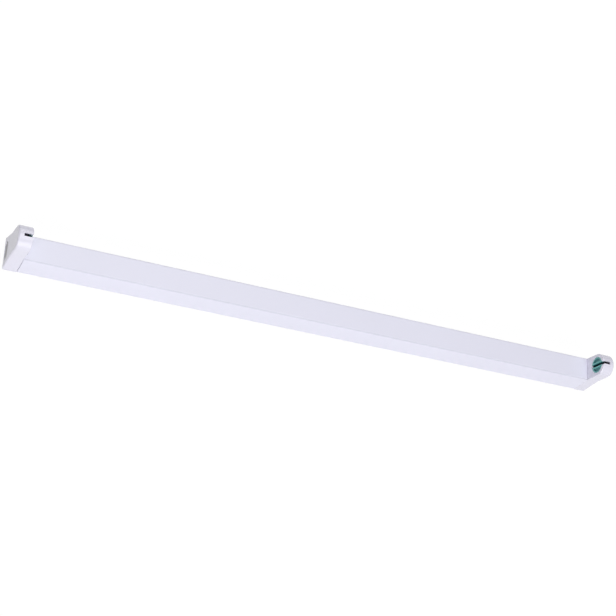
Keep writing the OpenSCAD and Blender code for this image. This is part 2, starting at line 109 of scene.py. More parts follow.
# The back plate and what stands on it
PLATE = 0.8
EDGE_HEIGHT = 6.0
PAD_RISE = 2.0
PAD_TOP = PLATE + PAD_RISE
SCREW_PAD = 4.5
BLOCK_PAD = 7.5
ENTRY_PAD = 8.0
EDGE_LIFT = SHEET + SLIP / 2
RISE_Y = BASE_WIDTH / 2 - LIP_WIDTH - 0.5
WEB_Y = RISE_Y - 1.2
FOOT_TOP = PAD_TOP + 2.2
FOOT_LENGTH = 20.0
FOOT_WIDTH = 14.0
FOOT_CORNER = 2.5
FOOT_SCREW_X = FACE_X + 6 - FOOT_LENGTH
FIXING_X = 200.0
FIXING_RADIUS = 2.5
FIXING_RUN = 4.0
BLOCK_X = 18.0
EARTH_X = -14.0
ENTRY_X = 60.0
ENTRY_RADIUS = 4.0
WAIST_RADIUS = ENTRY_RADIUS + 2

# Contacts, leads and screws
CONTACT = 0.4
CONTACT_WIDTH = 4.8
CONTACT_X = FACE_X + 3.6
CONTACT_Y = 8.0
CONTACT_FOOT = 9.0
SOCKET_TOP = CHANNEL_HEIGHT - 3
WIRE_Z = CONTACT_FOOT + 5
LEAD_RADIUS = 1.1
WIRE_RADIUS = 0.6
WIRE_Y = CONTACT_Y - CONTACT / 2 - WIRE_RADIUS
WIRE_IN = 7.0
POLE_PITCH = 8.0
POLE_LENGTH = 16.0
POLE_Z = PAD_TOP + 5
LEAD_Y = WEB_Y - 2.2
LEAD_Z = PLATE + 2.4
CAP_SCREW = 1.7
BLOCK_SCREW = 1.3
BLOCK_SCREW_Z = POLE_Z + 3.3
EARTH_SCREW = 1.9
EARTH_TAG = 0.8
EARTH_WASHER = 0.6
EARTH_SCREW_Z = PAD_TOP + EARTH_TAG + EARTH_WASHER
TAG_X = EARTH_X + 5
TAG_LENGTH = 6.0
TAG_Z = PAD_TOP + LEAD_RADIUS + HOLE_GAP + 0.5

# The photograph's camera
CAMERA_PLACE = Vector((-0.5417, -0.47461, 1.14492))
CAMERA_TARGET = Vector((-0.07215, -0.04366, 0.12815))
CAMERA_UP = Vector((-0.19531, 0.93215, 0.30488))
CAMERA_LENS = 82.247
CAMERA_SENSOR = 36


def rounded_corner(a, b, c, radius, steps):
    """Points that round the corner b between a and c."""
    u, v = (a - b).normalized(), (c - b).normalized()
    half = u.angle(v) / 2
    middle = b + (u + v).normalized() * radius / math.sin(half)
    start = b + u * radius / math.tan(half) - middle
    end = b + v * radius / math.tan(half) - middle
    turn = math.pi - 2 * half
    points = []
    for i in range(steps + 1):
        t = i / steps
        mix = start * math.sin(turn * (1 - t)) + end * math.sin(turn * t)
        points.append(middle + mix / math.sin(turn))
    return points


def softened(path, radius, steps=6):
    """An open path with its corners rounded, by one radius or by one for each corner."""
    path = [Vector(p) for p in path]
    radii = radius if isinstance(radius, list) else [radius] * (len(path) - 2)
    points = [path[0]]
    for a, b, c, r in zip(path, path[1:], path[2:], radii):
        points += rounded_corner(a, b, c, r, steps)
    return points + [path[-1]]


def turned_profile(corners, radius, steps):
    """A profile for turning, with rounded corners, whose points on the axis give way to end faces."""
    return softened(corners, radius, steps)[1:-1]


def mirrored(half):
    """A whole path from its +Y half, which runs from the path's end to its middle."""
    return [(-y, z) for y, z in half] + half[::-1]


def strip(path, thickness):
    """The outline of a strip that follows a path through its middle."""
    sides = [], []
    for i, point in enumerate(path):
        after = (path[i + 1] - point).normalized() if i < len(path) - 1 else None
        before = (point - path[i - 1]).normalized() if i else after
        middle = (before + (after or before)).normalized()
        shift = Vector((-middle.y, middle.x)) * thickness / 2 / middle.dot(before)
        sides[0].append(point + shift)
        sides[1].append(point - shift)
    return sides[0] + sides[1][::-1]


def side_y(z, inset=0.0):
    """Half the section's width at height z, at a depth below its outer face."""
    return BASE_WIDTH / 2 - SLOPE * z - inset * SLANT


def cap_outline(inset, floor, steps=48):
    """The end view of a cap at a depth below its outer face, down to a floor."""
    shoulder = (BASE_WIDTH / 2 - HEAD_RADIUS - inset * (SLANT - 1)) / SLOPE
    radius = HEAD_RADIUS - inset
    points = [(-side_y(floor, inset), floor), (side_y(floor, inset), floor), (radius, shoulder)]
    for i in range(steps + 1):
        a = math.pi * i / steps
        points.append((radius * math.cos(a), AXIS_Z + radius * math.sin(a)))
    return points + [(-radius, shoulder)]


def solid(name, rings, hoop=False):
    """A closed mesh through rings of equally many points, with end faces or closed to a hoop."""
    count = len(rings[0])
    points = [tuple(c * MM for c in p) for ring in rings for p in ring]
    faces = []
    for r in range(len(rings) - (0 if hoop else 1)):
        a, b = r * count, (r + 1) % len(rings) * count
        for i in range(count):
            j = (i + 1) % count
            faces.append((a + i, a + j, b + j, b + i))
    if not hoop:
        faces.append(tuple(range(count)))
        faces.append(tuple(range(len(points) - count, len(points))))
    mesh = bpy.data.meshes.new(name)
    mesh.from_pydata(points, [], faces)
    bm = bmesh.new()
    bm.from_mesh(mesh)
    bmesh.ops.recalc_face_normals(bm, faces=bm.faces)
    bm.to_mesh(mesh)
    bm.free()
    piece = bpy.data.objects.new(name, mesh)
    bpy.context.scene.collection.objects.link(piece)
    return piece


def bar(name, outline, x0, x1):
    """An outline in Y and Z, drawn out along X."""
    return solid(name, [[(x, y, z) for y, z in outline] for x in (x0, x1)])


def block(name, low, high):
    """A box between two corners, as a cutter or as a part of a larger piece."""
    outline = [(low[1], low[2]), (high[1], low[2]), (high[1], high[2]), (low[1], high[2])]
    return bar(name, outline, low[0], high[0])


def long_round(run, radius, middle=(0.0, 0.0), steps=16):
    """The outline of a slot with round ends, whose centres lie run apart."""
    outline = []
    for side in (1, -1):
        for i in range(steps + 1):
            a = math.pi * (i / steps - 0.5)
            u, v = run / 2 + radius * math.cos(a), radius * math.sin(a)
            outline.append((middle[0] + side * u, middle[1] + side * v))
    return outline


def turned_along(name, profile, y=0.0, z=AXIS_Z, sides=96):
    """A profile of (x, radius) points, turned about a line along X."""
    rings = []
    for x, radius in profile:
        turns = [2 * math.pi * i / sides for i in range(sides)]
        rings.append([(x, y + radius * math.cos(a), z + radius * math.sin(a)) for a in turns])
    return solid(name, rings)


def turned_upright(name, profile, x, y=0.0, sides=64, hoop=False):
    """A profile of (radius, z) points, turned about an upright line."""
    rings = []
    for radius, z in profile:
        turns = [2 * math.pi * i / sides for i in range(sides)]
        rings.append([(x + radius * math.cos(a), y + radius * math.sin(a), z) for a in turns])
    return solid(name, rings, hoop)


def tube(name, path, radius, sides=16, twist=0.0, offset=0.0, lead_in=0.0):
    """A round tube along a path, or a strand that winds round it at a distance."""
    path = [Vector(p) for p in path]
    rings = []
    across, run = None, 0.0
    for i, point in enumerate(path):
        ahead = (path[min(i + 1, len(path) - 1)] - path[max(i - 1, 0)]).normalized()
        if across is None:
            across = ahead.cross(Vector((0.3, 0.5, 0.8))).normalized()
        across = (across - across.dot(ahead) * ahead).normalized()
        other = ahead.cross(across)
        if i:
            run += (point - path[i - 1]).length
        wind = lead_in + twist * run
        middle = point + offset * (math.cos(wind) * across + math.sin(wind) * other)
        turns = [2 * math.pi * k / sides for k in range(sides)]
        rings.append([middle + radius * (math.cos(a) * across + math.sin(a) * other) for a in turns])
    return solid(name, rings)


def settle(piece):
    """Applies a piece's modifiers."""
    graph = bpy.context.evaluated_depsgraph_get()
    mesh = bpy.data.meshes.new_from_object(piece.evaluated_get(graph))
    piece.modifiers.clear()
    piece.data = mesh


def paint(piece, *materials):
    """Gives a piece its materials, in place of those it has."""
    piece.data.materials.clear()
    for material in materials:
        piece.data.materials.append(material)
    return piece


def combine(piece, other, operation):
    """Joins or cuts a piece with another solid, whose faces keep their material."""
    modifier = piece.modifiers.new(operation, "BOOLEAN")
    modifier.operation = operation
    modifier.solver = "EXACT"
    modifier.material_mode = "TRANSFER"
    modifier.object = other
    settle(piece)
    bpy.data.objects.remove(other)


def join(piece, *others):
    """Welds other solids to a piece."""
    for other in others:
        combine(piece, other, "UNION")


def cut(piece, *others):
    """Cuts other solids out of a piece."""
    for other in others:
        combine(piece, other, "DIFFERENCE")


def gather(name, pieces):
    """Puts solids that don't touch into one mesh."""
    bm = bmesh.new()
    for piece in pieces:
        bm.from_mesh(piece.data)
    mesh = bpy.data.meshes.new(name)
    bm.to_mesh(mesh)
    bm.free()
    for material in pieces[0].data.materials:
        mesh.materials.append(material)
    for piece in pieces:
        bpy.data.objects.remove(piece)
    whole = bpy.data.objects.new(name, mesh)
    bpy.context.scene.collection.objects.link(whole)
    return whole


def smooth(piece, edge=0.0, angle=35):
    """Breaks a piece's sharp edges and shades it smoothly."""
    if edge:
        bevel = piece.modifiers.new("edges", "BEVEL")
        bevel.width = edge * MM
        bevel.segments = 2
        bevel.limit_method = "ANGLE"
        bevel.angle_limit = math.radians(angle)
        bevel.use_clamp_overlap = True
        settle(piece)
    piece.data.shade_smooth()
    piece.data.set_sharp_from_angle(angle=math.radians(angle))
    weights = piece.modifiers.new("weights", "WEIGHTED_NORMAL")
    weights.keep_sharp = True
    settle(piece)
    return piece


def refined(node_name, name, material, edge):
    """A solid of the frame with its flat faces made whole and its edges broken."""
    piece = bpy.data.objects.new(name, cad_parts[node_name].data.copy())
    bpy.context.scene.collection.objects.link(piece)
    bm = bmesh.new()
    bm.from_mesh(piece.data)
    bmesh.ops.remove_doubles(bm, verts=bm.verts, dist=1e-6)
    bmesh.ops.dissolve_limit(bm, angle_limit=math.radians(1), verts=bm.verts, edges=bm.edges)
    bm.to_mesh(piece.data)
    bm.free()
    paint(piece, material)
    return smooth(piece, edge)


def other_end(piece, name):
    """A copy of a piece, turned about Z to the left end."""
    copy = piece.copy()
    copy.data = piece.data.copy()
    copy.name = copy.data.name = name
    bpy.context.scene.collection.objects.link(copy)
    copy.data.transform(Matrix.Rotation(math.pi, 4, "Z"))
    return copy


def fit(piece, nodes, body="fixture"):
    """Hides the frame's solids that a piece stands for, and hangs the piece on the body it moves with."""
    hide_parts(nodes)
    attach(piece, body)


# Finishes


def add_node(tree, kind, **values):
    """A new node, with its properties."""
    made = tree.nodes.new(kind)
    for key, value in values.items():
        setattr(made, key, value)
    return made


def new_group(name, inputs, outputs):
    """A shader node group whose inputs are numbers with defaults."""
    group = bpy.data.node_groups.new(name, "ShaderNodeTree")
    for key, default in inputs.items():
        socket = group.interface.new_socket(name=key, in_out="INPUT", socket_type="NodeSocketFloat")
        socket.default_value = default
    for key in outputs:
        group.interface.new_socket(name=key, in_out="OUTPUT", socket_type="NodeSocketFloat")
    return group, add_node(group, "NodeGroupInput"), add_node(group, "NodeGroupOutput")


def make_skin():
    """The skin of paint and mouldings: a fine peel, and broad faint changes of tone."""
    group, given, out = new_group("skin", {"Peel scale": 900, "Tone scale": 14}, ["Height", "Tone"])
    place = add_node(group, "ShaderNodeTexCoord")
    peel = add_node(group, "ShaderNodeTexNoise")
    peel.inputs["Detail"].default_value = 2
    tone = add_node(group, "ShaderNodeTexNoise")
    tone.inputs["Detail"].default_value = 3
    links = group.links
    links.new(place.outputs["Object"], peel.inputs["Vector"])
    links.new(place.outputs["Object"], tone.inputs["Vector"])
    links.new(given.outputs["Peel scale"], peel.inputs["Scale"])
    links.new(given.outputs["Tone scale"], tone.inputs["Scale"])
    links.new(peel.outputs["Fac"], out.inputs["Height"])
    links.new(tone.outputs["Fac"], out.inputs["Tone"])
    return group


def make_rolled():
    """Rolled metal: lines along X and cloudy patches."""
    scales = {"Line scale": 2500, "Patch scale": 120}
    group, given, out = new_group("rolled_metal", scales, ["Lines", "Patches"])
    place = add_node(group, "ShaderNodeTexCoord")
    squeeze = add_node(group, "ShaderNodeMapping")
    squeeze.inputs["Scale"].default_value = (0.04, 1, 1)
    lines = add_node(group, "ShaderNodeTexNoise")
    lines.inputs["Detail"].default_value = 2
    patches = add_node(group, "ShaderNodeTexVoronoi")
    links = group.links
    links.new(place.outputs["Object"], squeeze.inputs["Vector"])
    links.new(squeeze.outputs["Vector"], lines.inputs["Vector"])
    links.new(given.outputs["Line scale"], lines.inputs["Scale"])
    links.new(place.outputs["Object"], patches.inputs["Vector"])
    links.new(given.outputs["Patch scale"], patches.inputs["Scale"])
    links.new(lines.outputs["Fac"], out.inputs["Lines"])
    links.new(patches.outputs["Color"], out.inputs["Patches"])
    return group


SKIN = make_skin()
ROLLED = make_rolled()


def finish_shader(name, group, tone_output, height_output, scales, dark, light, roughness, spread, depth):
    """A material with two close tones, roughness that varies with them, and a bump."""
    material = bpy.data.materials.new(name)
    material.use_nodes = True
    tree = material.node_tree
    shader = tree.nodes["Principled BSDF"]
    detail = add_node(tree, "ShaderNodeGroup", node_tree=group)
    for key, value in scales.items():
        detail.inputs[key].default_value = value
    tones = add_node(tree, "ShaderNodeMix", data_type="RGBA")
    tones.inputs["A"].default_value = (*dark, 1)
    tones.inputs["B"].default_value = (*light, 1)
    gloss = add_node(tree, "ShaderNodeMapRange")
    gloss.inputs["To Min"].default_value = roughness - spread
    gloss.inputs["To Max"].default_value = roughness + spread
    bump = add_node(tree, "ShaderNodeBump")
    bump.inputs["Distance"].default_value = depth * MM
    bump.inputs["Strength"].default_value = 1
    links = tree.links
    links.new(detail.outputs[tone_output], tones.inputs["Factor"])
    links.new(tones.outputs["Result"], shader.inputs["Base Color"])
    links.new(detail.outputs[tone_output], gloss.inputs["Value"])
    links.new(gloss.outputs["Result"], shader.inputs["Roughness"])
    links.new(detail.outputs[height_output], bump.inputs["Height"])
    links.new(bump.outputs["Normal"], shader.inputs["Normal"])
    return material, shader


def moulded(name, dark, light, roughness, peel_scale=1500, depth=0.006, tone_scale=30):
    """A moulded, coated or extruded skin: the material and its shader."""
    scales = {"Peel scale": peel_scale, "Tone scale": tone_scale}
    return finish_shader(name, SKIN, "Tone", "Height", scales, dark, light, roughness, 0.05, depth)


def metal(name, dark, light, roughness, patch_scale=150, depth=0.003):
    """A rolled or plated metal."""
    scales = {"Line scale": 2500, "Patch scale": patch_scale}
    material, shader = finish_shader(
        name, ROLLED, "Patches", "Lines", scales, dark, light, roughness, 0.06, depth
    )
    shader.inputs["Metallic"].default_value = 1
    return material


COAT_SKIN = {"peel_scale": 900, "depth": 0.02, "tone_scale": 14}
WHITE_COAT = moulded("white_powder_coat", (0.775, 0.772, 0.890), (0.805, 0.802, 0.925), 0.42, **COAT_SKIN)[0]
# A darker, rougher copy of the coat: painted shade for the near fold of the front
FOLD_SHADE_COAT = moulded("powder_coat_with_painted_fold_shade", (0.660, 0.658, 0.765), (0.685, 0.683, 0.795), 0.6, **COAT_SKIN)[0]
WHITE_PLASTIC = moulded("white_moulding", (0.760, 0.748, 0.855), (0.785, 0.772, 0.885), 0.25)[0]
# Near-black: painted shade for the depths of the rotors' slots
SLOT_DEPTH_SHADE = moulded("painted_slot_shade", (0.045, 0.035, 0.062), (0.058, 0.046, 0.076), 0.7)[0]
TEAL = moulded("teal_moulding", (0.125, 0.41, 0.39), (0.150, 0.46, 0.44), 0.36)[0]
# A dark copy of the teal: painted shade on the walls of the rotors' slots
TEAL_SLOT_SHADE = moulded("teal_with_painted_slot_shade", (0.006, 0.120, 0.128), (0.008, 0.145, 0.153), 0.6)[0]
# A darker copy of the teal: painted shade in the pockets beside the ribs
TEAL_POCKET_SHADE = moulded("teal_with_painted_pocket_shade", (0.105, 0.30, 0.31), (0.130, 0.34, 0.35), 0.5)[0]
# A dark grey-violet: painted shade on the rotors' hubs, deep inside the holders
HUB_SHADE = moulded("painted_hub_shade", (0.13, 0.12, 0.18), (0.16, 0.15, 0.21), 0.5)[0]
ZINC = metal("zinc_plated_sheet", (0.56, 0.58, 0.61), (0.68, 0.70, 0.72), 0.36)
SCREW_ZINC = metal("zinc_plated_screws", (0.62, 0.62, 0.60), (0.74, 0.74, 0.72), 0.28, 600)
BRONZE = metal("bronze_strip", (0.66, 0.45, 0.20), (0.76, 0.55, 0.28), 0.30, 400)
BRASS = metal("brass_inserts", (0.68, 0.52, 0.24), (0.78, 0.62, 0.32), 0.32, 500)
COPPER = metal("copper_strands", (0.72, 0.34, 0.19), (0.84, 0.44, 0.27), 0.33, 900)
BROWN_PVC = moulded("brown_insulation", (0.10, 0.045, 0.022), (0.13, 0.060, 0.030), 0.42)[0]
BLUE_PVC = moulded("blue_insulation", (0.020, 0.065, 0.30), (0.028, 0.085, 0.36), 0.42)[0]
GREEN_PVC = moulded("green_insulation", (0.030, 0.24, 0.040), (0.045, 0.29, 0.055), 0.42)[0]
YELLOW_PVC = moulded("yellow_stripe", (0.72, 0.58, 0.030), (0.80, 0.66, 0.045), 0.42)[0]
RUBBER = moulded("grey_rubber", (0.040, 0.040, 0.043), (0.055, 0.055, 0.059), 0.62, 2200, 0.012, 60)[0]
# A mid grey for the seals: painted shade along the foot of the end faces
SEAL_SHADE_RUBBER = moulded("pale_rubber", (0.46, 0.46, 0.48), (0.54, 0.54, 0.56), 0.6, 2200, 0.01, 60)[0]
NATURAL_NYLON, nylon_shader = moulded("natural_nylon", (0.72, 0.72, 0.66), (0.80, 0.80, 0.74), 0.38)
nylon_shader.inputs["Transmission Weight"].default_value = 0.35
nylon_shader.inputs["IOR"].default_value = 1.5


# The pieces


def make_channel():
    """The folded cover: crowned sides, smooth folds, and painted shade, a darker and rougher coat, on the
    near fold of its front.
    """
    middle = SHEET / 2
    half = [(BASE_WIDTH / 2 - LIP_WIDTH, middle), (side_y(middle, middle), middle)]
    radii = [LIP_FOLD_RADIUS - middle]
    steps, side_radius = 12, 20
    for i in range(1, steps):
        z = CHANNEL_HEIGHT * i / steps
        half.append((side_y(z, middle) + CROWN * math.sin(math.pi * i / steps), z))
        radii.append(side_radius)
    half.append((side_y(CHANNEL_HEIGHT - middle, middle), CHANNEL_HEIGHT - middle))
    radii.append(FOLD_RADIUS - middle)
    outline = strip(softened(mirrored(half), radii + radii[::-1], 10), SHEET)
    cover = bar("channel_cover", outline, SLIP - FACE_X, FACE_X - SLIP)
    paint(cover, WHITE_COAT, FOLD_SHADE_COAT)
    for face in cover.data.polygons:
        # Faces that lean between the front and the near side, which take the painted shade of the fold
        across, up = face.normal.y, face.normal.z
        if across < 0 and 0.3 < up < 0.96 and abs(face.normal.x) < 0.1:
            face.material_index = 1
    smooth(cover, edge=0.08, angle=50)
    fit(cover, "channel")


def cap_form():
    """The outside of the right cap, with its edges rounded, more at its closed end."""
    steps = 6
    turns = [math.pi / 2 * i / steps for i in range(steps + 1)]
    stations = []
    for a in turns:
        stations.append((EDGE_RADIUS * (1 - math.cos(a)), EDGE_RADIUS * (1 - math.sin(a))))
    for a in turns[::-1]:
        stations.append((HOLDER_DEPTH - END_RADIUS * (1 - math.cos(a)), END_RADIUS * (1 - math.sin(a))))
    rings = []
    for u, inset in stations:
        ring = []
        for y, z in cap_outline(0, 0):
            # Where the cap meets the channel, its edge is sharper below the front than above it
            at_channel = u < HOLDER_DEPTH / 2
            share = min(1.0, max(0.3, (z - CHANNEL_HEIGHT + 3) / 6)) if at_channel else 1.0
            depth = inset * share
            if z <= CHANNEL_HEIGHT + 0.01:
                ring.append((FACE_X + u, math.copysign(side_y(z, depth), y), z + (depth if z < 1 else 0)))
            else:
                scale = (HEAD_RADIUS - depth) / HEAD_RADIUS
                ring.append((FACE_X + u, y * scale, AXIS_Z + (z - AXIS_Z) * scale))
        rings.append(ring)
    return solid("right_end_cap", rings)


def entry_form(name, x0, x1, grow=0.0):
    """The long round form of the cable entry in an end plate, grown or shrunk."""
    outline = long_round(SEAL_WIDTH - SEAL_HEIGHT, SEAL_HEIGHT / 2 + grow, (0, SEAL_Z))
    return bar(name, outline, x0, x1)


def pin_entry():
    """The cutter for the slot that lets the pins in from above, with a widened mouth."""
    low, high, half = AXIS_Z, AXIS_Z + HEAD_RADIUS + 1.5 * RUN_OUT, PIN_SLOT / 2
    before, wide = FACE_X - RUN_OUT, half + PIN_LEAD
    slot = block("cutter", (before, -half, low), (FACE_X + PIN_DEPTH, half, high))
    mouth = [
        (before, -wide), (FACE_X, -wide), (FACE_X + PIN_LEAD, -half),
        (FACE_X + PIN_LEAD, half), (FACE_X, wide), (before, wide),
    ]
    join(slot, solid("mouth", [[(x, y, z) for x, y in mouth] for z in (low, high)]))
    return slot


def make_caps():
    """Both end caps with their lamp holders, feet and contact sockets."""
    cap = paint(cap_form(), WHITE_PLASTIC)
    before = FACE_X - RUN_OUT
    inside = FACE_X + FACE_WALL
    cut(cap, bar("cutter", cap_outline(CAP_WALL, CAP_FLOOR), inside, PLATE_X + OVERLAP))
    # The mouth keeps just off the chamber's walls and the foot's top, so that no two faces share a plane
    inset, low, high = CAP_WALL + 0.05, FOOT_TOP + 0.03, CHANNEL_HEIGHT - CAP_WALL
    mouth = mirrored([(side_y(low, inset), low), (side_y(high, inset), high)])
    cut(cap, bar("cutter", mouth, before, inside + OVERLAP))

    middle = SHEET + SLIP + CAP_WALL / 2
    low, high = EDGE_HEIGHT + 0.5, CHANNEL_HEIGHT - middle
    arch = softened(mirrored([(side_y(low, middle), low), (side_y(high, middle), high)]), CAP_WALL / 2 + 0.1)
    join(cap, bar("spigot", strip(arch, CAP_WALL), FACE_X - SPIGOT_LENGTH, inside + 2 * OVERLAP))
    foot_start, foot_end, half = FACE_X + 2 * OVERLAP, FACE_X - FOOT_LENGTH, FOOT_WIDTH / 2
    corners = [(foot_start, -half), (foot_end, -half), (foot_end, half), (foot_start, half)]
    rounded = softened(corners, FOOT_CORNER)
    join(cap, solid("foot", [[(p.x, p.y, z) for p in rounded] for z in (PAD_TOP, FOOT_TOP)]))
    socket_in, socket_out = WIRE_Y - WIRE_RADIUS - 0.7, CONTACT_Y + CONTACT / 2 + 1.2
    socket_end = CONTACT_X + CONTACT_WIDTH + 0.7
    for s in (-1, 1):
        y0, y1 = sorted((s * socket_in, s * socket_out))
        corner = (FACE_X + OVERLAP, y0, CAP_FLOOR - OVERLAP)
        join(cap, block("socket", corner, (socket_end, y1, SOCKET_TOP)))

    # The seat's outline has its own number of steps, so that its edges don't run along those of the cap
    seat = cap_outline(EDGE_RADIUS, EDGE_RADIUS, steps=47)
    cut(cap, bar("cutter", seat, PLATE_X, END_X + RUN_OUT))
    bore = ROTOR_RADIUS + RUNNING_GAP
    cut(cap, turned_along("cutter", [(before, bore), (inside + RUN_OUT, bore)]))
    cut(cap, pin_entry())
    hole = CAP_SCREW + SLIP
    cut(cap, turned_upright("cutter", [(hole, 0), (hole, FOOT_TOP + RUN_OUT)], FOOT_SCREW_X))
    gap, wire = CONTACT / 2 + HOLE_GAP, WIRE_RADIUS + HOLE_GAP
    wire_hole = [(FACE_X, wire), (FACE_X + WIRE_IN + HOLE_GAP, wire)]
    for s in (-1, 1):
        y = s * CONTACT_Y
        cut(cap, block("cutter", (CONTACT_X - HOLE_GAP, y - gap, CONTACT_FOOT),
                       (CONTACT_X + CONTACT_WIDTH + HOLE_GAP, y + gap, SOCKET_TOP + 9)))
        cut(cap, turned_along("cutter", wire_hole, s * WIRE_Y, WIRE_Z, sides=24))
    smooth(cap, edge=0.12)
    left = other_end(cap, "left_end_cap")
    fit(cap, "right_cap")
    fit(left, "left_cap")


def make_end_plates():
    """The plates that close the caps, each with its bush and the cable entry."""
    inset = EDGE_RADIUS + SLIP / 2
    plate = paint(bar("right_end_cover", cap_outline(inset, inset), PLATE_X, END_X), WHITE_PLASTIC)
    bush_x, outer, bore = HUB_END + SLIP, AXLE_RADIUS + BUSH_WALL, AXLE_RADIUS + RUNNING_GAP
    join(plate, turned_along("bush", [(bush_x, outer), (PLATE_X + OVERLAP, outer)]))
    cut(plate, turned_along("cutter", [(bush_x - RUN_OUT, bore), (AXLE_END + SLIP, bore)]))
    cut(plate, entry_form("cutter", PLATE_X - RUN_OUT, END_X + RUN_OUT))
    smooth(plate, edge=0.15)
    left = other_end(plate, "left_end_cover")
    fit(plate, "right_end_plate")
    fit(left, "left_end_plate")


def make_rotors():
    """Both rotors, with the slot, its ribs and the pockets beside them; the slot's walls, the pockets and the
    hub are painted darker as shade.
    """
    front, flange = FACE_X + ROTOR_SETBACK, FACE_X + FACE_WALL + SLIP
    hub = flange + 1
    disc = [
        (front, 0), (front, ROTOR_RADIUS), (flange, ROTOR_RADIUS), (flange, CHAMBER_RADIUS - SLIP),
        (hub, CHAMBER_RADIUS - SLIP), (hub, 0),
    ]
    core = [
        (hub - OVERLAP, 0), (hub - OVERLAP, HUB_RADIUS), (HUB_END, HUB_RADIUS), (HUB_END, AXLE_RADIUS),
        (AXLE_END, AXLE_RADIUS), (AXLE_END, 0),
    ]
    rotor = paint(turned_along("right_rotor_moulding", turned_profile(disc, 0.15, 3)), TEAL)
    # The hub takes the dark grey-violet, painted shade inside the holder
    join(rotor, paint(turned_along("hub", turned_profile(core, 0.15, 3)), HUB_SHADE))
    pocket_radius, half, low, high = ROTOR_RADIUS - POCKET_BORDER, PIN_SLOT / 2, AXIS_Z - 20, AXIS_Z + 20
    pocket = turned_along("cutter", [(front - RUN_OUT, pocket_radius), (front + POCKET, pocket_radius)])
    # The pockets' faces take the darker teal, painted shade
    paint(pocket, TEAL_POCKET_SHADE)
    cut(pocket, block("band", (front - 2, -half - RIB, low), (front + 4, half + RIB, high)))
    cut(rotor, pocket)
    corners = [(-half, low), (half, low), (half, high), (-half, high)]
    depths = (FACE_X - RUN_OUT, hub, FACE_X + PIN_DEPTH)
    # The slot's walls are painted shade: dark teal through the disc, near-black behind it
    slot = paint(solid("cutter", [[(x, y, z) for y, z in corners] for x in depths]), TEAL_SLOT_SHADE, SLOT_DEPTH_SHADE)
    for face in slot.data.polygons:
        face.material_index = int(face.center.x > hub * MM)
    cut(rotor, slot)
    smooth(rotor, edge=0.1)
    left = other_end(rotor, "left_rotor_moulding")
    fit(rotor, "right_rotor", "right_rotor")
    fit(left, "left_rotor", "left_rotor")


def make_back_plate():
    """The back plate with its joggled edges, pressed-up pads and holes."""
    inset, lifted = SHEET + SLIP + PLATE / 2, PLATE / 2 + EDGE_LIFT
    half = [
        (side_y(EDGE_HEIGHT, inset), EDGE_HEIGHT), (side_y(lifted, inset), lifted),
        (RISE_Y, lifted), (WEB_Y, PLATE / 2),
    ]
    end = FACE_X - 2.5 * SLIP
    plate = paint(bar("mounting_plate", strip(softened(mirrored(half), 0.7, 5), PLATE), -end, end), ZINC)
    rises, hollows = [], []
    for x, radius in (
        (FOOT_SCREW_X, SCREW_PAD), (-FOOT_SCREW_X, SCREW_PAD), (BLOCK_X, BLOCK_PAD), (EARTH_X, SCREW_PAD),
        (ENTRY_X, ENTRY_PAD),
    ):
        rise = [(0, 0.1), (radius + PAD_TOP - 0.1, 0.1), (radius, PAD_TOP), (0, PAD_TOP)]
        rises.append(turned_upright("rise", turned_profile(rise, 0.5, 4), x))
        inner = radius + PLATE * (1 - math.sqrt(2))
        hollow = [(0, -RUN_OUT), (inner + PAD_RISE + RUN_OUT, -RUN_OUT), (inner, PAD_RISE), (0, PAD_RISE)]
        hollows.append(turned_upright("hollow", turned_profile(hollow, 0.4, 4), x))
    join(plate, gather("rises", rises))
    cut(plate, gather("hollows", hollows))
    holes = []
    for x, y, radius in [
        (FOOT_SCREW_X, 0, CAP_SCREW), (-FOOT_SCREW_X, 0, CAP_SCREW), (BLOCK_X, POLE_PITCH / 2, BLOCK_SCREW),
        (BLOCK_X, -POLE_PITCH / 2, BLOCK_SCREW), (EARTH_X, 0, EARTH_SCREW), (ENTRY_X, 0, WAIST_RADIUS),
    ]:
        hole = radius + HOLE_GAP
        holes.append(turned_upright("hole", [(hole, -RUN_OUT), (hole, PAD_TOP + RUN_OUT)], x, y))
    for x in (-FIXING_X, FIXING_X):
        outline = long_round(FIXING_RUN, FIXING_RADIUS, (x, 0))
        holes.append(solid("hole", [[(px, py, z) for px, py in outline] for z in (-RUN_OUT, 2 * RUN_OUT)]))
    cut(plate, gather("holes", holes))
    smooth(plate, edge=0.08, angle=30)
    fit(plate, "back_plate")


def make_contacts():
    """The four bowed contact strips."""
    for s, right_name, left_name in ((-1, "right_near_contact", "left_far_contact"),
                                     (1, "right_far_contact", "left_near_contact")):
        path = [
            (CONTACT_Y, CONTACT_FOOT), (CONTACT_Y, SOCKET_TOP + 1), (CHAMBER_RADIUS - 0.9, AXIS_Z - 10),
            (HUB_RADIUS + 0.65, AXIS_Z), (CHAMBER_RADIUS - 1.6, AXIS_Z + 4),
        ]
        outline = [(s * y, z) for y, z in strip(softened(path, 3, 8), CONTACT)]
        strip_piece = bar(right_name + "_strip", outline, CONTACT_X, CONTACT_X + CONTACT_WIDTH)
        smooth(paint(strip_piece, BRONZE), edge=0.06)
        left = other_end(strip_piece, left_name + "_strip")
        fit(strip_piece, right_name)
        fit(left, left_name)


def threaded_shank(x, y, low, high, radius):
    """A screw's shank, with its thread inside the shank's full radius."""
    root, pitch, sides = radius * 0.8, 0.42 * radius, 24
    count = math.ceil((high - low) / pitch * 6)
    rings = []
    for i in range(count + 1):
        z = low + (high - low) * i / count
        fade = max(0.0, min(1.0, (high - z) / pitch, (z - low) / pitch))
        ring = []
        for j in range(sides):
            ridge = max(0.0, 1 - 2.4 * abs((z / pitch - j / sides) % 1 - 0.5))
            r = root + (radius - root) * ridge * fade
            a = 2 * math.pi * j / sides
            ring.append((x + r * math.cos(a), y + r * math.sin(a), z))
        rings.append(ring)
    return solid("shank", rings)


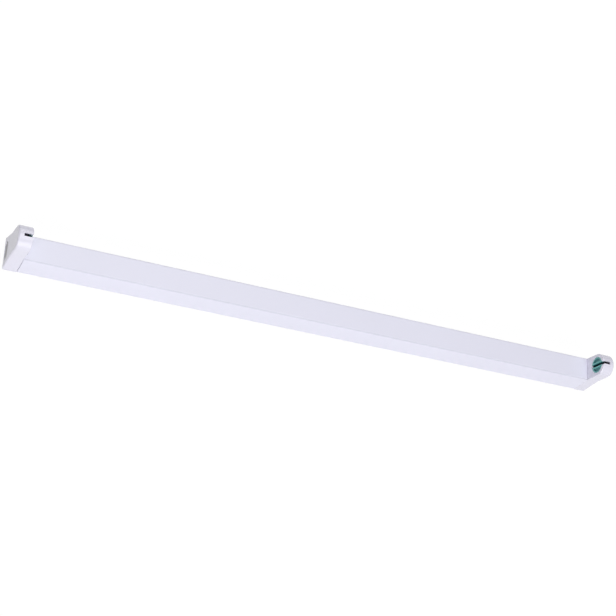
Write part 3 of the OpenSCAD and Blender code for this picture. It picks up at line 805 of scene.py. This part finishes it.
def pan_screw(x, y, z, radius, length):
    """A cross-recessed pan-head screw that points down."""
    head_r, head_h = 1.8 * radius, 1.15 * radius
    top = z + head_h
    profile = [(0, z), (head_r, z), (head_r, z + 0.45 * head_h), (0.62 * head_r, top), (0, top)]
    head = turned_upright("head", turned_profile(profile, 0.14 * radius, 4), x, y)
    arm, width, depth = 0.55 * head_r, 0.11 * head_r, 0.4 * head_h
    for u, v in ((arm, width), (width, arm)):
        cut(head, block("recess", (x - u, y - v, z + depth), (x + u, y + v, top + RUN_OUT)))
    join(head, threaded_shank(x, y, z - length, z + 0.1, radius))
    return smooth(paint(head, SCREW_ZINC), angle=30)


def make_screws():
    """The screws of the caps, the terminal block and the earth point."""
    caps, blocks = [], []
    for s in (-1, 1):
        caps.append(pan_screw(s * FOOT_SCREW_X, 0, FOOT_TOP, CAP_SCREW, FOOT_TOP - 0.6))
    fit(gather("cap_foot_screws", caps), "cap_screws")
    for s in (-1, 1):
        blocks.append(pan_screw(BLOCK_X, s * POLE_PITCH / 2, BLOCK_SCREW_Z, BLOCK_SCREW, BLOCK_SCREW_Z - 0.4))
    fit(gather("terminal_block_screws", blocks), "block_screws")
    earth = pan_screw(EARTH_X, 0, EARTH_SCREW_Z, EARTH_SCREW, EARTH_SCREW_Z - 0.4)
    earth.name = "earth_point_screw"
    fit(earth, "earth_screw")


def make_terminals():
    """The terminal block with its brass inserts and clamping screws, the earth tag and the lead clips."""
    for node_name, name, material, edge, slot_name in (
        ("terminal_block", "terminal_block_moulding", NATURAL_NYLON, 0.2, "clear_plastic"),
        ("terminal_inserts", "terminal_brass", BRASS, 0.06, "bronze"),
        ("terminal_screws", "terminal_grub_screws", SCREW_ZINC, 0.08, "zinc_screw"),
        ("earth_washer", "earth_lock_washer", SCREW_ZINC, 0.05, "zinc_screw"),
        ("earth_tag", "earth_ring_tag", SCREW_ZINC, 0.08, "zinc_screw"),
        ("lead_clips", "stick_on_clips", WHITE_PLASTIC, 0.12, "white_plastic"),
    ):
        fit(refined(node_name, name, material, edge), node_name)


def make_leads():
    """The three insulated leads and their bare strands."""
    start = BLOCK_X - POLE_LENGTH / 2
    for s, name, material, slot_name in ((-1, "live_lead", BROWN_PVC, "brown_pvc"),
                                         (1, "neutral_lead", BLUE_PVC, "blue_pvc")):
        route = [
            (start, s * POLE_PITCH, POLE_Z), (start - 8, s * POLE_PITCH, POLE_Z),
            (start - 20, s * LEAD_Y, LEAD_Z), (-FACE_X + FOOT_LENGTH + 12, s * LEAD_Y, LEAD_Z),
            (-FACE_X + 8, s * WIRE_Y, WIRE_Z), (-FACE_X - 0.5, s * WIRE_Y, WIRE_Z),
        ]
        lead = tube(name + "_insulation", softened(route, 6, 10), LEAD_RADIUS)
        fit(smooth(paint(lead, material)), name)
    finish = TAG_X + TAG_LENGTH - 2
    route = [(start, 0, POLE_Z), (start - 3.5, 0, POLE_Z), (finish + 4.5, 0, TAG_Z), (finish, 0, TAG_Z)]
    earth = tube("earth_lead_insulation", softened(route, 2, 8), LEAD_RADIUS, sides=18)
    smooth(paint(earth, GREEN_PVC, YELLOW_PVC))
    for face in earth.data.polygons:
        if face.index < len(earth.data.polygons) - 2 and face.index % 9 < 3:
            face.material_index = 1
    fit(earth, "earth_lead")

    strands = []
    runs = [((start, y, POLE_Z), (start + 6, y, POLE_Z)) for y in (-POLE_PITCH, 0, POLE_PITCH)]
    runs += [((-FACE_X - 0.5, y, WIRE_Z), (-FACE_X - WIRE_IN, y, WIRE_Z)) for y in (-WIRE_Y, WIRE_Y)]
    runs.append(((TAG_X + 0.5, 0, TAG_Z), (finish, 0, TAG_Z)))
    steps, strand = 12, WIRE_RADIUS / 3
    for a, b in runs:
        path = [Vector(a).lerp(Vector(b), i / steps) for i in range(steps + 1)]
        strands.append(tube("strand", path, strand, 8))
        for k in range(6):
            turn = math.pi / 3 * k
            strands.append(tube("strand", path, strand, 8, twist=0.5, offset=2 * strand, lead_in=turn))
    bare = smooth(paint(gather("copper_wire_ends", strands), COPPER))
    fit(bare, "wire_ends")


def make_grommet():
    """The rubber grommet in the cable entry."""
    lip, flange = 1.4, WAIST_RADIUS + 1.6
    low, high = PAD_RISE - lip, PAD_TOP + lip
    profile = [Vector(p) for p in (
        (ENTRY_RADIUS, low), (flange, low), (flange, PAD_RISE), (WAIST_RADIUS, PAD_RISE),
        (WAIST_RADIUS, PAD_TOP), (flange, PAD_TOP), (flange, high), (ENTRY_RADIUS, high),
    )]
    rounded = []
    for i, point in enumerate(profile):
        rounded += rounded_corner(profile[i - 1], point, profile[(i + 1) % len(profile)], 0.3, 4)
    grommet = turned_upright("cable_entry_grommet", rounded, ENTRY_X, hoop=True)
    fit(smooth(paint(grommet, RUBBER)), "cable_grommet")


def make_seals():
    """The rubber seals in the two end entries, each with a rim behind the end plate and a slit; their mid
    grey is painted shade along the foot of each end face.
    """
    seal = entry_form("right_seal", PLATE_X - OVERLAP, END_X - 0.3, -HOLE_GAP)
    join(seal, entry_form("rim", PLATE_X - 1, PLATE_X, SEAL_RIM))
    y, z = (SEAL_WIDTH - SEAL_HEIGHT) / 2, SEAL_SLIT / 2
    cut(seal, block("slit", (PLATE_X - 1 - RUN_OUT, -y, SEAL_Z - z), (END_X + RUN_OUT, y, SEAL_Z + z)))
    smooth(paint(seal, SEAL_SHADE_RUBBER), edge=0.12)
    both = gather("cable_entry_seals", [seal, other_end(seal, "left_seal")])
    fit(both, "entry_seals")


# The stage


def seen_rays(tree):
    """1 where the camera, a reflection or a see-through piece looks at the background, else 0."""
    path = add_node(tree, "ShaderNodeLightPath")
    seen = add_node(tree, "ShaderNodeMath", operation="MAXIMUM")
    seen_through = add_node(tree, "ShaderNodeMath", operation="MAXIMUM")
    tree.links.new(path.outputs["Is Camera Ray"], seen.inputs[0])
    tree.links.new(path.outputs["Is Glossy Ray"], seen.inputs[1])
    tree.links.new(seen.outputs[0], seen_through.inputs[0])
    tree.links.new(path.outputs["Is Transmission Ray"], seen_through.inputs[1])
    return seen_through.outputs[0]


def make_floor():
    """A plain white floor, which shows mostly its own white and so keeps a faint shadow."""
    reach, low, own_white, own_share = 12.0, -0.0005, 1.1, 0.85
    mesh = bpy.data.meshes.new("floor")
    corners = [(-reach, -reach, low), (reach, -reach, low), (reach, reach, low), (-reach, reach, low)]
    mesh.from_pydata(corners, [], [(0, 1, 2, 3)])
    floor = bpy.data.objects.new("floor", mesh)
    bpy.context.scene.collection.objects.link(floor)
    material = bpy.data.materials.new("white_floor")
    material.use_nodes = True
    tree = material.node_tree
    shader = tree.nodes["Principled BSDF"]
    shader.inputs["Base Color"].default_value = (0.6, 0.6, 0.6, 1)
    shader.inputs["Roughness"].default_value = 0.9
    white = add_node(tree, "ShaderNodeEmission")
    white.inputs["Strength"].default_value = own_white
    share = add_node(tree, "ShaderNodeMath", operation="MULTIPLY")
    share.inputs[1].default_value = own_share
    mix = add_node(tree, "ShaderNodeMixShader")
    links = tree.links
    links.new(seen_rays(tree), share.inputs[0])
    links.new(share.outputs[0], mix.inputs["Fac"])
    links.new(shader.outputs[0], mix.inputs[1])
    links.new(white.outputs[0], mix.inputs[2])
    links.new(mix.outputs[0], tree.nodes["Material Output"].inputs["Surface"])
    mesh.materials.append(material)


def make_world(level):
    """An even light from all round, which shows as white."""
    world = bpy.data.worlds.new("studio")
    bpy.context.scene.world = world
    world.use_nodes = True
    tree = world.node_tree
    background = tree.nodes["Background"]
    strength = add_node(tree, "ShaderNodeMapRange")
    strength.inputs["To Min"].default_value = level
    strength.inputs["To Max"].default_value = 1
    tree.links.new(seen_rays(tree), strength.inputs["Value"])
    tree.links.new(strength.outputs["Result"], background.inputs["Strength"])
    background.inputs["Color"].default_value = (1, 1, 1, 1)


def make_softbox(name, place, size, power):
    """A rectangular lamp that faces the middle of the batten."""
    lamp = bpy.data.lights.new(name, "AREA")
    lamp.shape = "RECTANGLE"
    lamp.size, lamp.size_y = size
    lamp.energy = power
    box = bpy.data.objects.new(name, lamp)
    box.location = place
    box.rotation_euler = Vector(place).to_track_quat("Z", "Y").to_euler()
    bpy.context.scene.collection.objects.link(box)


def make_camera():
    """The camera at the photograph's angle."""
    camera = bpy.data.objects.new("camera", bpy.data.cameras.new("camera"))
    camera.data.lens = CAMERA_LENS
    camera.data.sensor_width = CAMERA_SENSOR
    camera.data.clip_start = 0.01
    forward = (CAMERA_TARGET - CAMERA_PLACE).normalized()
    right = forward.cross(CAMERA_UP).normalized()
    turn = Matrix((right, right.cross(forward), -forward)).transposed().to_4x4()
    camera.matrix_world = Matrix.Translation(CAMERA_PLACE) @ turn
    bpy.context.scene.collection.objects.link(camera)
    bpy.context.scene.camera = camera


make_camera()
make_floor()
make_world(level=0.12)
make_softbox("near_softbox", place=(-0.3, -1.8, 0.8), size=(2.6, 1.4), power=35)
make_softbox("top_softbox", place=(0.2, 0.2, 2.2), size=(1.6, 1.6), power=21.4)
make_softbox("far_softbox", place=(-0.4, 1.6, 1.2), size=(1.4, 1.0), power=11.5)
make_channel()
make_caps()
make_end_plates()
make_rotors()
make_back_plate()
make_contacts()
make_screws()
make_terminals()
make_leads()
make_grommet()
make_seals()

bpy.context.scene.view_settings.view_transform = "Standard"
